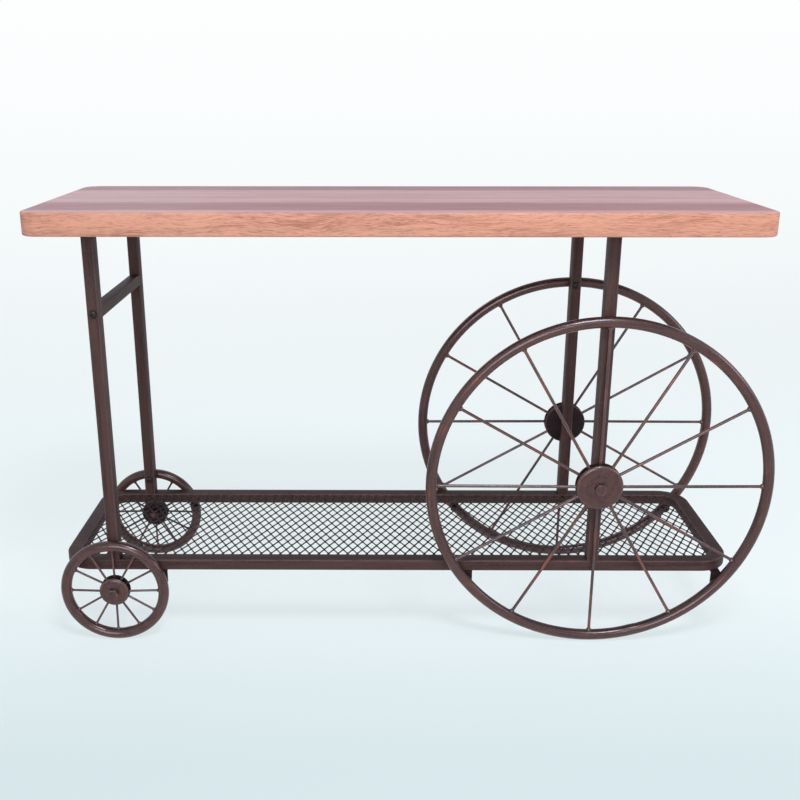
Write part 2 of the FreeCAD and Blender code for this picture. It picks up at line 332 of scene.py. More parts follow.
def about(size, turn, out, across):
    """Streaks about the middle of a wheel: rings where turn is small, rays where out is small."""
    hub = middle(f"front_{size}_rim")

    def streaks(place):
        ray = place.scaled((1.0, 0.0, 1.0), location=(-hub.x, 0.0, -hub.z))
        far = ray.vector("LENGTH", output="Value")
        level = place.scaled((0.0, across, 0.0))
        spot = ray.vector("NORMALIZE").vector("MULTIPLY_ADD", (turn, 0.0, turn), level)
        return spot.add("ShaderNodeTexNoise", {"noise_dimensions": "4D"},
                        {"Vector": spot, "W": far * out, "Scale": 1.0, "Detail": 4.0, "Roughness": 0.6})
    return streaks


def bronze(name, tones, streaks, copper, shine, roughness):
    """Antique bronze: a streaked coat, darker where faces point up (painted shade) and paler along its edges
    (painted highlight), rubbed through to copper along the streaks.
    """
    finishes = bpy.context.scene.cart_table_finishes
    finish, place = start_finish(name)
    facing = place.add("ShaderNodeNewGeometry", output="Normal")
    up = facing.part("Z")
    edge = wear_and_highlight_edges(place)
    streak = streaks(place)
    rub = place.noise(31.0, detail=5.0, roughness=0.62, distortion=0.5)
    speck = place.noise(420.0, detail=2.0, roughness=0.5)
    mottle = speck * (0.3 + up.greater(0.0) * 0.6)
    # Faces that point up take the dark tone: painted shade.
    coat = (streak * 0.7 + mottle - up * 0.5).ramp(0.25, 0.60).mix(*tones)
    # More copper where faces point down and where they point left.
    down_and_left_facing = up * -0.10 - facing.part("X") * 0.04
    start = 0.74 - 0.3 * copper
    brushed = edge * rub.ramp(0.45, 0.65) * 0.17
    bare = (streak * 0.55 + rub * 0.45 + down_and_left_facing + brushed).ramp(start, start + 0.14)
    # A pale line along the rounded edges: painted highlight.
    line = edge * (0.30 + rub.ramp(0.30, 0.55) * 0.5)
    base = bare.mix(line.mix(coat, finishes.bronze_edge_highlight), finishes.copper)
    end_finish(base, roughness + streak * 0.14 - bare * 0.06, height=speck * 0.5 + rub * 0.5, relief=0.0002,
               Metallic=0.2, Specular_IOR_Level=shine, Specular_Tint=(0.90, 0.88, 1.0, 1.0))
    return finish


def blackened_steel(name):
    """Blackened bolt steel, a little polished where a key or spanner turns it."""
    finishes = bpy.context.scene.cart_table_finishes
    finish, place = start_finish(name)
    cloud = place.noise(180.0)
    grit = place.noise(900.0, detail=2.0)
    polish = wear_and_highlight_edges(place) * cloud.ramp(0.40, 0.62) * 0.7
    coat = cloud.ramp(0.3, 0.7).mix(finishes.bolt_black, finishes.bronze_dark)
    base = polish.mix(coat, finishes.bronze_light)
    end_finish(base, 0.34 + cloud * 0.2, height=grit, relief=0.0001, Metallic=0.6)
    return finish


def board_wood(name):
    """Wood of the top: soft lengthwise stripes with a painted highlight along the front, long fine grain and
    short pores under a hazy lacquer.
    """
    finishes = bpy.context.scene.cart_table_finishes
    finish, place = start_finish(name)
    wander = place.scaled((1.2, 9.0, 3.0)).noise(detail=2.0) - 0.5
    across = (place.part("Y") + wander * 0.022) / extent("edge_band").y + 0.5
    # The light strip at the front of the stripes is a painted highlight.
    stops = [(step, (tone, tone, tone)) for step, tone in BOARD_STRIPES]
    stripes = place.add("ShaderNodeValToRGB", {"stops": stops}, {"Fac": across}).part("X")
    figure = place.scaled((5.0, 62.0, 10.0)).noise(detail=5.0, roughness=0.62, distortion=0.8)
    grain = place.scaled((7.0, 260.0, 60.0)).noise(roughness=0.6)
    pores = place.scaled((26.0, 620.0, 90.0)).noise(detail=2.0, roughness=0.5).ramp(0.60, 0.72)
    tone = stripes + (figure - 0.5) * 1.3 + (grain - 0.5) * 0.9 - pores * 0.4
    base = tone.ramp(-0.2, 1.2).mix(finishes.board_dark, finishes.board_light)
    end_finish(base, 0.42 + grain * 0.14, height=grain * 0.4 - pores * 0.6, relief=0.0002,
               Specular_IOR_Level=0.10, Sheen_Weight=0.27, Sheen_Roughness=0.35,
               Sheen_Tint=(0.76, 0.58, 1.0, 1.0))
    return finish


def band_wood(name):
    """Wood of the edge band: warm oak grain that runs around the top and turns its corners."""
    finishes = bpy.context.scene.cart_table_finishes
    finish, place = start_finish(name)
    cloud = place.scaled((3.0, 3.0, 22.0)).noise(roughness=0.6, distortion=0.6)
    sway = place.scaled((8.0, 8.0, 10.0)).noise(detail=2.0)
    fibre = sway.vector("MULTIPLY_ADD", (0.0, 0.0, 0.035), place)
    streak = fibre.scaled((26.0, 26.0, 420.0), location=(3.1, 1.7, 0.4))
    figure = streak.noise(detail=4.0, roughness=0.6, distortion=0.6)
    grain = fibre.scaled((52.0, 52.0, 660.0)).noise(detail=4.0, roughness=0.65, distortion=0.4)
    pores = fibre.scaled((64.0, 64.0, 1000.0)).noise(detail=2.0, roughness=0.5).ramp(0.58, 0.68)
    tone = figure * 0.55 + grain * 0.45 + (cloud - 0.5) * 0.5 - pores * 0.22
    base = tone.ramp(0.25, 0.62).mix(finishes.edge_dark, finishes.edge_light)
    height = grain * 0.5 + figure * 0.2 - pores * 0.5
    end_finish(base, 0.42 + grain * 0.16, height, relief=0.00025, Specular_IOR_Level=0.45)
    return finish


def shared(make, name, **look):
    """A finish by its name, made the first time that it is asked for."""
    return bpy.data.materials.get(name) or make(name, **look)


def coat_tones():
    """The dark and the light tone of the coat."""
    finishes = bpy.context.scene.cart_table_finishes
    return finishes.bronze_dark, finishes.bronze_light


def warm_tones():
    """The dark and the warm tone of the coat."""
    finishes = bpy.context.scene.cart_table_finishes
    return finishes.bronze_dark, finishes.bronze_warm


def frame_bronze(way):
    """A calm coat with faint streaks along the tube."""
    coarse, fine = 5.0, 95.0
    scale = [coarse if axis == way else fine for axis in "XYZ"]
    return shared(bronze, f"bronze_along_{way}", tones=coat_tones(), streaks=along(*scale),
                  copper=0.1, shine=0.10, roughness=0.48)


def rim_bronze(size):
    """A glossy coat with streaks around the rim."""
    streaks = about(size, turn=5.0, out=320.0, across=320.0)
    return shared(bronze, f"bronze_on_{size}_rims", tones=warm_tones(), streaks=streaks,
                  copper=0.58, shine=0.48, roughness=0.14)


def spoke_bronze(size):
    """A much rubbed coat with streaks along the spokes."""
    streaks = about(size, turn=45.0, out=14.0, across=300.0)
    return shared(bronze, f"bronze_on_{size}_spokes", tones=coat_tones(), streaks=streaks,
                  copper=0.84, shine=0.80, roughness=0.16)


def hub_bronze(size):
    """A glossy coat with turned streaks around the hub."""
    streaks = about(size, turn=2.0, out=150.0, across=150.0)
    return shared(bronze, f"bronze_on_{size}_hubs", tones=warm_tones(), streaks=streaks,
                  copper=0.46, shine=0.40, roughness=0.15)


def bolt_bronze():
    """The coat of the hub bolts, rubbed bright by the spanner."""
    return shared(bronze, "bronze_on_hub_bolts", tones=coat_tones(), streaks=along(150.0, 150.0, 150.0),
                  copper=0.78, shine=0.45, roughness=0.20)


def dark_and_shade_bronze():
    """A darker coat: the mesh's own dark coat, and painted shade on the tabs, the nuts and the hubs' inner
    sides.
    """
    finishes = bpy.context.scene.cart_table_finishes
    tones = finishes.bolt_black, finishes.bronze_dark
    return shared(bronze, "bronze_unrubbed", tones=tones, streaks=along(60.0, 60.0, 60.0),
                  copper=0.2, shine=0.08, roughness=0.50)


def black_bolt():
    """The steel of the small bolts and screws."""
    return shared(blackened_steel, "blackened_steel")


def paint(finish, *nodes):
    """Gives CAD nodes that stay in view a finish."""
    for node in nodes:
        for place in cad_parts[node].material_slots:
            place.material = finish


def fresh_mesh():
    """An empty mesh whose faces can be marked for edge wear and the painted edge highlight."""
    bm = bmesh.new()
    bm.faces.layers.float.new("worn")
    return bm


def mark_wear_and_highlight(bm, faces):
    """Tells the finish that these faces are edges that wear and take the painted edge highlight."""
    layer = bm.faces.layers.float["worn"]
    for face in faces:
        face[layer] = 1.0


def verts_of(made):
    """The vertices among the parts that an operator made."""
    return [part for part in made["geom"] if isinstance(part, bmesh.types.BMVert)]


def plan_of(vert):
    """A vertex's place in plan, to a hundredth of a millimetre."""
    return round(vert.co.x, 5), round(vert.co.y, 5)


def bevel(bm, parts, size, steps, affect="EDGES"):
    """Rounds edges, or corners in plan, and gives the new faces."""
    made = bmesh.ops.bevel(bm, geom=parts, offset=size, segments=steps, affect=affect,
                           profile=0.5, material=-1)
    return made["faces"]


def ease(bm, edges, size, steps):
    """Rounds the edges and marks the new faces for edge wear and the painted edge highlight."""
    mark_wear_and_highlight(bm, bevel(bm, edges, size, steps))


def make_piece(bm, name, finish, nodes):
    """Turns a mesh into a finished piece that stands for the named nodes."""
    bmesh.ops.recalc_face_normals(bm, faces=bm.faces)
    mesh = bpy.data.meshes.new(name)
    bm.to_mesh(mesh)
    bm.free()
    mesh.materials.append(finish)
    mesh.shade_smooth()
    mesh.set_sharp_from_angle(angle=CREASE)
    piece = bpy.data.objects.new(name, mesh)
    bpy.context.collection.objects.link(piece)
    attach(piece, "root")
    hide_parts(*nodes)


def round_outline(bm, low, high, corner, steps):
    """A flat rectangle with round corners, at the height of the lower corner."""
    made = bmesh.ops.create_grid(bm, x_segments=1, y_segments=1, size=0.5)
    size = high - low
    bmesh.ops.scale(bm, vec=(size.x, size.y, 1.0), verts=made["verts"])
    centre = (low + high) / 2
    bmesh.ops.translate(bm, vec=(centre.x, centre.y, low.z), verts=made["verts"])
    bevel(bm, made["verts"], corner, steps, affect="VERTICES")


def hoop(low, high, corner, wall, steps):
    """A closed ring of rectangular section, and the plan of its outer outline."""
    bm = fresh_mesh()
    round_outline(bm, low, high, corner, steps)
    outer = {plan_of(vert) for vert in bm.verts}
    ring = bmesh.ops.inset_region(bm, faces=bm.faces[:], thickness=wall, use_boundary=True,
                                  use_even_offset=True)["faces"]
    bmesh.ops.delete(bm, geom=[face for face in bm.faces if face not in ring], context="FACES")
    made = bmesh.ops.extrude_face_region(bm, geom=bm.faces[:], use_keep_orig=True)
    bmesh.ops.translate(bm, vec=(0, 0, high.z - low.z), verts=verts_of(made))
    bmesh.ops.recalc_face_normals(bm, faces=bm.faces)
    return bm, outer


def level_edges(bm):
    """The sharp edges that lie level."""
    return [edge for edge in bm.edges
            if edge.calc_face_angle(0.0) > SHARP and abs(edge.verts[0].co.z - edge.verts[1].co.z) < LEVEL]


def make_bar(node, edge):
    """A tube in the place of a CAD node, its long edges rounded."""
    bm = fresh_mesh()
    low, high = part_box(node)
    made = bmesh.ops.create_cube(bm, size=1.0)
    size = high - low
    bmesh.ops.scale(bm, vec=size, verts=made["verts"])
    bmesh.ops.translate(bm, vec=(low + high) / 2, verts=made["verts"])
    axis = max(range(3), key=lambda number: size[number])
    long_edges = [line for line in bm.edges
                  if abs(line.verts[0].co[axis] - line.verts[1].co[axis]) > size[axis] / 2]
    ease(bm, long_edges, edge, TUBE_EDGE_STEPS)
    return bm


def lathe(bm, profile, steps, closed=False, worn=()):
    """Turns pairs of radius and height about Y, and marks the faces of numbered lines for edge wear and the
    painted edge highlight.
    """
    before = set(bm.faces)
    ring = [bm.verts.new((radius, height, 0)) for radius, height in profile]
    lines = [bm.edges.new(pair) for pair in zip(ring, ring[1:])]
    if closed:
        lines.append(bm.edges.new((ring[-1], ring[0])))
    bmesh.ops.spin(bm, geom=ring + lines, cent=(0, 0, 0), axis=(0, 1, 0), angle=FULL_TURN, steps=steps,
                   use_merge=True)
    faces = [face for face in bm.faces if face not in before]
    marks = [(Vector(profile[number]) + Vector(profile[(number + 1) % len(profile)])) / 2 for number in worn]
    for face in faces:
        centre = face.calc_center_median()
        spot = Vector((math.hypot(centre.x, centre.z), centre.y))
        if any((spot - mark).length < WEAR_AND_HIGHLIGHT_REACH for mark in marks):
            mark_wear_and_highlight(bm, [face])
    verts = list(dict.fromkeys(vert for face in faces for vert in face.verts))
    bmesh.ops.remove_doubles(bm, verts=verts, dist=TINY)
    return [face for face in faces if face.is_valid]


def blob(bm, place, size, detail=2):
    """A small rounded lump of weld or a knuckle of mesh."""
    matrix = Matrix.Translation(place) @ Matrix.Diagonal((*size, 1.0))
    bmesh.ops.create_icosphere(bm, subdivisions=detail, radius=1.0, matrix=matrix)


class Wheel:
    """Where a wheel sits and how large it is. Its own Y runs outwards from the leg's face."""

    def __init__(self, side, size):
        self.size = size
        self.name = f"{side}_{size}"
        low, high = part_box(f"{self.name}_rim")
        self.tube = (high.y - low.y) / 2
        self.ring = (high.z - low.z) / 2 - self.tube
        self.width = 2 * self.tube
        face = low.y if side == "rear" else high.y
        turn = Matrix.Identity(4) if side == "rear" else HALF_TURN
        centre = (low + high) / 2
        self.place = Matrix.Translation((centre.x, face, centre.z)) @ turn
        self.hub = extent(f"{self.name}_hub_outer_disc").z / 2
        self.barrel = extent(f"{self.name}_hub_barrel").z / 2

    def put(self, bm, fixed=()):
        """Moves the mesh, apart from its fixed corners, to the wheel's place."""
        bmesh.ops.transform(bm, matrix=self.place, verts=[vert for vert in bm.verts if vert not in fixed])
        return bm


def make_rim(wheel, steps):
    """A ring of round tube with the raised weld where its ends meet."""
    bm = fresh_mesh()
    bmesh.ops.create_circle(bm, segments=RIM_SIDES, radius=wheel.tube)
    bmesh.ops.translate(bm, vec=(wheel.ring, wheel.tube, 0), verts=bm.verts)
    bmesh.ops.spin(bm, geom=bm.verts[:] + bm.edges[:], cent=(0, 0, 0), axis=(0, 1, 0), angle=FULL_TURN,
                   steps=steps, use_merge=True)
    bmesh.ops.remove_doubles(bm, verts=bm.verts, dist=TINY)
    for vert in bm.verts:
        if Vector((vert.co.x, 0, vert.co.z)).length < wheel.ring:
            turn = math.atan2(vert.co.z, vert.co.x)
            core = Vector((wheel.ring * math.cos(turn), wheel.tube, wheel.ring * math.sin(turn)))
            off = (turn - RIM_WELD_PLACE + math.pi) % FULL_TURN - math.pi
            fade = math.exp(-(off * wheel.ring / RIM_WELD_LENGTH) ** 2)
            vert.co += (vert.co - core).normalized() * RIM_WELD_SWELL * wheel.ring * fade
    return wheel.put(bm)


def make_spokes(wheel, sizes, diameter):
    """Round spokes from under the hub discs to the rim, each with a dab of weld."""
    bm = fresh_mesh()
    radius = diameter / 2
    dab = diameter * DAB_SIZE
    seat = extent(f"{wheel.name}_hub_outer_disc").y + SPOKE_CLEARANCE + radius
    tip = Vector((wheel.ring - wheel.tube + SPOKE_SINK, wheel.tube, 0))
    for step in range(sizes.spoke_count):
        level = seat if step % 2 else wheel.width - seat
        foot = Vector((wheel.hub - sizes.spoke_lap, level, 0))
        run = tip - foot
        spin = Matrix.Rotation(FULL_TURN * step / sizes.spoke_count, 4, "Y")
        lie = run.to_track_quat("Z", "Y").to_matrix().to_4x4()
        matrix = spin @ Matrix.Translation((foot + tip) / 2) @ lie
        bmesh.ops.create_cone(bm, cap_ends=True, segments=SPOKE_SIDES, radius1=radius, radius2=radius,
                              depth=run.length, matrix=matrix)
        blob(bm, spin @ (tip - run.normalized() * DAB_SETBACK), (dab, dab * DAB_FLATNESS, dab))
    return wheel.put(bm)


def make_outer_disc(wheel):
    """The slightly domed outer disc of a hub, its edge rounded."""
    bm = fresh_mesh()
    radius, width = wheel.hub, wheel.width
    back = width - extent(f"{wheel.name}_hub_outer_disc").y
    disc = [
        (HUB_BORE, back), (radius - 0.0004, back), (radius, back + 0.0004),
        (radius - 0.0001, width - 0.0030), (radius - 0.0007, width - 0.0017),
        (radius - 0.0018, width - 0.0006), (radius - 0.0034, width + 0.0002),
        (radius - 0.0060, width + 0.0008), (radius * 0.6, width + 0.0017), (HUB_BORE, width + 0.0022),
    ]
    lathe(bm, disc, DISC_STEPS, closed=True, worn=(4, 5))
    return wheel.put(bm)


def make_inner_disc(wheel):
    """The inner disc of a hub with its eased edge, and the barrel up to the outer disc."""
    bm = fresh_mesh()
    radius, neck = wheel.hub, wheel.barrel
    front = extent(f"{wheel.name}_hub_inner_disc").y
    back = wheel.width - extent(f"{wheel.name}_hub_outer_disc").y
    disc = [
        (HUB_BORE, front), (radius - 0.0006, front), (radius, front - 0.0006), (radius, 0.0022),
        (radius - 0.0007, 0.0008), (radius - 0.0024, 0.0), (HUB_BORE, 0.0),
    ]
    lathe(bm, disc, DISC_STEPS, closed=True, worn=(2, 3, 4))
    barrel = [
        (HUB_BORE, front), (neck + 0.001, front), (neck, front + 0.0012), (neck, back - 0.0012),
        (neck + 0.001, back), (HUB_BORE, back),
    ]
    lathe(bm, barrel, BARREL_STEPS, closed=True)
    return wheel.put(bm)


def hex_block(bm, across, seat, face):
    """A hexagon along Y that lies on a flat, with eased corners and a chamfered outer face."""
    radius = across / 2 / math.cos(math.pi / 6)
    turn = Matrix.Rotation(math.pi / 2, 4, "Y") @ Matrix.Rotation(-math.pi / 2, 4, "X")
    matrix = Matrix.Translation((0, (seat + face) / 2, 0)) @ turn
    made = bmesh.ops.create_cone(bm, cap_ends=True, segments=6, radius1=radius, radius2=radius,
                                 depth=abs(face - seat), matrix=matrix)
    lines = dict.fromkeys(line for vert in made["verts"] for line in vert.link_edges)
    corners = [line for line in lines if abs(line.verts[0].co.y - line.verts[1].co.y) > TINY]
    ease(bm, corners, HEX_CORNER, HEX_STEPS)
    outer = [line for line in bm.edges if all(abs(vert.co.y - face) < TINY for vert in line.verts)]
    ease(bm, outer, HEX_CHAMFER, HEX_STEPS)


def add_hub_bolt(bm, wheel, across):
    """Adds the hexagon bolt of a hub, with the end of its shank behind the hub."""
    fixed = set(bm.verts)
    leg_face = abs(wheel.place.translation.y)
    hex_block(bm, across, wheel.width - HEAD_SINK, extent(f"{wheel.size}_hub_bolts").y / 2 - leg_face)
    shank = [
        (0.0, TIP_END), (TIP_RADIUS, TIP_END), (SHANK_RADIUS, TIP_START), (SHANK_RADIUS, wheel.width),
        (0.0, wheel.width),
    ]
    lathe(bm, shank, BOLT_STEPS, worn=(1,))
    wheel.put(bm, fixed)


def add_hub_nut(bm, wheel, across):
    """Adds the nut behind a hub."""
    fixed = set(bm.verts)
    hex_block(bm, across, 0.0, -NUT_HEIGHT)
    wheel.put(bm, fixed)


def add_button_head(bm, radius, height, matrix):
    """Adds a domed bolt head with a six-sided socket, made on Y = 0 and facing -Y, then placed."""
    socket, floor = radius * SOCKET_WIDTH, -height * SOCKET_DEPTH
    dome = [
        (0.0, floor), (socket, floor), (socket, -height), (socket * 1.25, -height * 0.985),
        (radius * 0.72, -height * 0.80), (radius * 0.9, -height * 0.52), (radius, -height * 0.2),
        (radius, 0.0), (0.0, 0.0),
    ]
    faces = lathe(bm, dome, BOLT_STEPS, worn=(2,))
    verts = {vert for face in faces for vert in face.verts}
    sixth = math.pi / 3
    for vert in verts:
        reach = math.hypot(vert.co.x, vert.co.z)
        if 0 < reach < socket * 1.05 and vert.co.y < 0:
            turn = math.atan2(vert.co.z, vert.co.x) % sixth - sixth / 2
            factor = SOCKET_FLAT / math.cos(turn)
            vert.co.x *= factor
            vert.co.z *= factor
    bmesh.ops.transform(bm, matrix=matrix, verts=list(verts))


class CARTTABLE_OT_top(bpy.types.Operator):
    """Give the board its striped wood and wrap the rounded edge band around it"""

    bl_idname = "cart_table.top"
    bl_label = "Table Top"

    def execute(self, context):
        sizes = context.scene.cart_table_sizes
        paint(shared(board_wood, "board_wood"), "table_top")
        low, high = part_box("edge_band")
        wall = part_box("table_top")[0].x - low.x
        bm, outer = hoop(low, high, sizes.top_corner, wall, TOP_CORNER_STEPS)
        edges = [edge for edge in level_edges(bm) if all(plan_of(vert) in outer for vert in edge.verts)]
        ease(bm, edges, min(sizes.band_arris, wall * BAND_ARRIS_MOST), BAND_ARRIS_STEPS)
        make_piece(bm, "edge_band_wood", shared(band_wood, "band_wood"), ["edge_band"])
        return {"FINISHED"}


class CARTTABLE_OT_legs(bpy.types.Operator):
    """Replace the legs and the handle by tube with rounded edges, and finish the plates on the legs"""

    bl_idname = "cart_table.legs"
    bl_label = "Legs and Handle"

    def execute(self, context):
        edge = context.scene.cart_table_sizes.tube_edge
        for side, end in CORNERS:
            node = f"{side}_{end}_leg"
            make_piece(make_bar(node, edge), f"{node}_tube", frame_bronze("Z"), [node])
            paint(frame_bronze("X"), f"{node}_plate")
        bm = make_bar("handle_bar", edge)
        make_piece(bm, "handle_tube", frame_bronze("Y"), ["handle_bar"])
        return {"FINISHED"}


class CARTTABLE_OT_shelf_frame(bpy.types.Operator):
    """Replace the rails and bent ends of the shelf by one run of tube, and finish the tabs under it"""

    bl_idname = "cart_table.shelf_frame"
    bl_label = "Shelf Frame"

    def execute(self, context):
        sizes = context.scene.cart_table_sizes
        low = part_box("shelf_left_end")[0]
        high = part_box("shelf_right_end")[1]
        wall = extent("front_shelf_rail").y
        bm = hoop(low, high, sizes.shelf_bend, wall, SHELF_BEND_STEPS)[0]
        ease(bm, level_edges(bm), sizes.tube_edge, TUBE_EDGE_STEPS)
        nodes = ["front_shelf_rail", "rear_shelf_rail", "shelf_left_end", "shelf_right_end"]
        make_piece(bm, "shelf_frame_tube", frame_bronze("X"), nodes)
        # The tabs take the darker coat: painted shade.
        paint(dark_and_shade_bronze(), *[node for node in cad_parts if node.endswith("_tab")])
        return {"FINISHED"}


class CARTTABLE_OT_mesh(bpy.types.Operator):
    """Replace the strands of the shelf by a mesh of rolled strands with knuckles where they cross"""

    bl_idname = "cart_table.mesh"
    bl_label = "Shelf Mesh"

    def execute(self, context):
        sizes = context.scene.cart_table_sizes
        left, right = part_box("shelf_left_end"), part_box("shelf_right_end")
        upper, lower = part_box("mesh_upper_strands"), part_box("mesh_lower_strands")
        wall = extent("front_shelf_rail").y
        level = (upper[1].z + lower[0].z) / 2
        centre = (left[0].x + right[1].x) / 2
        inside = right[1].y - wall
        reach = right[1].x - centre - wall
        slope = sizes.mesh_along / sizes.mesh_across
        lean = math.atan(slope)
        half_run = inside + STRAND_SINK
        count = math.ceil((reach + half_run * slope) / sizes.mesh_along)
        roll = Matrix.Rotation(STRAND_ROLL, 4, "Y")
        run = 2 * half_run / math.cos(lean)
        strand = Matrix.Diagonal((sizes.strand_width, run, sizes.strand_thickness, 1.0))
        bm = fresh_mesh()
        for way in (1, -1):
            lie = Matrix.Rotation(-way * lean, 4, "Z") @ roll
            for step in range(-count, count + 1):
                place = Matrix.Translation((centre + step * sizes.mesh_along, 0, level))
                bmesh.ops.create_cube(bm, size=1.0, matrix=place @ lie @ strand)
        long_edges = [edge for edge in bm.edges if edge.calc_length() > inside]
        ease(bm, long_edges, sizes.strand_thickness * STRAND_ARRIS, 1)
        for way in (1, -1):
            end = centre + way * (reach + STRAND_SINK)
            made = bmesh.ops.bisect_plane(bm, geom=bm.verts[:] + bm.edges[:] + bm.faces[:], dist=TINY,
                                          plane_co=(end, 0, 0), plane_no=(way, 0, 0), clear_outer=True)
            cut = [part for part in made["geom_cut"] if isinstance(part, bmesh.types.BMEdge)]
            bmesh.ops.holes_fill(bm, edges=cut)
        rows = math.floor(inside / (sizes.mesh_across / 2))
        columns = math.floor(reach / (sizes.mesh_along / 2))
        for row in range(-rows, rows + 1):
            for column in range(-columns, columns + 1):
                if (row + column) % 2 == 0:
                    place = (centre + column * sizes.mesh_along / 2, row * sizes.mesh_across / 2, level)
                    blob(bm, place, KNUCKLE, 1)
        nodes = ["mesh_upper_strands", "mesh_lower_strands"]
        make_piece(bm, "shelf_mesh", dark_and_shade_bronze(), nodes)
        return {"FINISHED"}


class CARTTABLE_OT_rims(bpy.types.Operator):
    """Replace the rims of the four wheels by smooth rings of tube"""

    bl_idname = "cart_table.rims"
    bl_label = "Rims"

    def execute(self, context):
        steps = context.scene.cart_table_sizes.rim_steps
        for side, size in WHEELS:
            bm = make_rim(Wheel(side, size), steps)
            node = f"{side}_{size}_rim"
            make_piece(bm, f"{node}_tube", rim_bronze(size), [node])
        return {"FINISHED"}


class CARTTABLE_OT_spokes(bpy.types.Operator):
    """Replace the spokes of the four wheels by round rods with weld at the rim"""

    bl_idname = "cart_table.spokes"
    bl_label = "Spokes"

    def execute(self, context):
        sizes = context.scene.cart_table_sizes
        for side, size in WHEELS:
            diameter = sizes.big_spoke if size == "big" else sizes.small_spoke
            bm = make_spokes(Wheel(side, size), sizes, diameter)
            name, node = f"{side}_{size}_spoke_rods", f"{side}_{size}_spokes"
            make_piece(bm, name, spoke_bronze(size), [node])
        return {"FINISHED"}


class CARTTABLE_OT_hubs(bpy.types.Operator):
    """Replace the hubs by turned discs and barrels, with hexagon bolts and nuts"""

    bl_idname = "cart_table.hubs"
    bl_label = "Hubs"

    def execute(self, context):
        across = extent("small_hub_nuts").z
        for size in SIZES:
            bolts = fresh_mesh()
            for side in SIDES:
                wheel = Wheel(side, size)
                hub = f"{side}_{size}_hub"
                make_piece(make_outer_disc(wheel), f"{hub}_face", hub_bronze(size),
                           [f"{hub}_outer_disc"])
                # The inner disc and barrel take the darker coat: painted shade.
                make_piece(make_inner_disc(wheel), f"{hub}_back", dark_and_shade_bronze(),
                           [f"{hub}_inner_disc", f"{hub}_barrel"])
                add_hub_bolt(bolts, wheel, across)
            make_piece(bolts, f"{size}_hub_hex_bolts", bolt_bronze(), [f"{size}_hub_bolts"])
        nuts = fresh_mesh()
        for side in SIDES:
            add_hub_nut(nuts, Wheel(side, "small"), across)
        # The nuts take the darker coat: painted shade.
        make_piece(nuts, "small_hub_hex_nuts", dark_and_shade_bronze(), ["small_hub_nuts"])
        return {"FINISHED"}


class CARTTABLE_OT_bolts(bpy.types.Operator):
    """Replace the small bolts by domed heads with sockets, and finish the screws under the top"""

    bl_idname = "cart_table.bolts"
    bl_label = "Small Bolts"

    def execute(self, context):
        paint(black_bolt(), "top_screws")
        leg_low, leg_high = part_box("rear_left_leg")
        tab_face = leg_high.y - context.scene.cart_table_sizes.tab_thickness
        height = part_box("handle_bolts")[1].y - leg_high.y
        seats = {"handle_bolts": (leg_high.y, 1)}
        for size in SIZES:
            seats[f"{size}_rim_bolts"] = (leg_low.y, -1)
            seats[f"{size}_tab_bolts"] = (tab_face, -1)
        for node, (seat, facing) in seats.items():
            low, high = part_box(node)
            radius = (high.z - low.z) / 2
            bm = fresh_mesh()
            for x in sorted({round(low.x + radius, 5), round(high.x - radius, 5)}):
                for side in (1, -1):
                    turn = HALF_TURN if side * facing > 0 else Matrix.Identity(4)
                    matrix = Matrix.Translation((x, side * seat, (low.z + high.z) / 2)) @ turn
                    add_button_head(bm, radius, height, matrix)
            make_piece(bm, f"{node}_heads", black_bolt(), [node])
        return {"FINISHED"}


class CARTTABLE_OT_stage(bpy.types.Operator):
    """Set up the pale studio, the soft lights and the camera"""

    bl_idname = "cart_table.stage"
    bl_label = "Studio"

    def execute(self, context):
        make_backdrop(context)
        make_lights(context)
        make_sky(context)
        make_camera(context)
        return {"FINISHED"}


def seen_directly(shade):
    """1 for what the camera, a reflection or clear glass sees, 0 for the light that the surface gives."""
    camera, glossy, clear = [shade.add("ShaderNodeLightPath", output=f"Is {kind} Ray")
                             for kind in ("Camera", "Glossy", "Transmission")]
    return camera.greater(glossy).greater(clear)


def studio_paper(name):
    """Paper of the backdrop: pale blue before the table, white up the wall and far aside."""
    finishes = bpy.context.scene.cart_table_finishes
    finish, place = start_finish(name)
    aside, away, height = [place.part(axis) for axis in "XYZ"]
    lead, run = 1.0, 8.0
    distance = (away + height + lead) / run
    stops = (0.06, finishes.floor_near), (0.125, finishes.floor_middle), (0.90, finishes.floor_far)
    sweep = place.add("ShaderNodeValToRGB", {"stops": stops}, {"Fac": distance})
    edge = aside.greater(0.0 - aside).greater(0.0 - away).ramp(4.0, 10.0)
    tone = edge.mix(sweep, finishes.floor_far)
    matt = place.add("ShaderNodeBsdfDiffuse", sockets={"Color": tone})
    glow = place.add("ShaderNodeEmission", sockets={"Color": tone, "Strength": 1.0})
    white = distance.ramp(0.05, 0.90).greater(edge)
    share = seen_directly(place) * (FLOOR_GLOW + white * (1.0 - FLOOR_GLOW))
    surface = place.add("ShaderNodeMixShader", sockets={0: share, 1: matt, 2: glow})
    place.add("ShaderNodeOutputMaterial", sockets={"Surface": surface})
    return finish


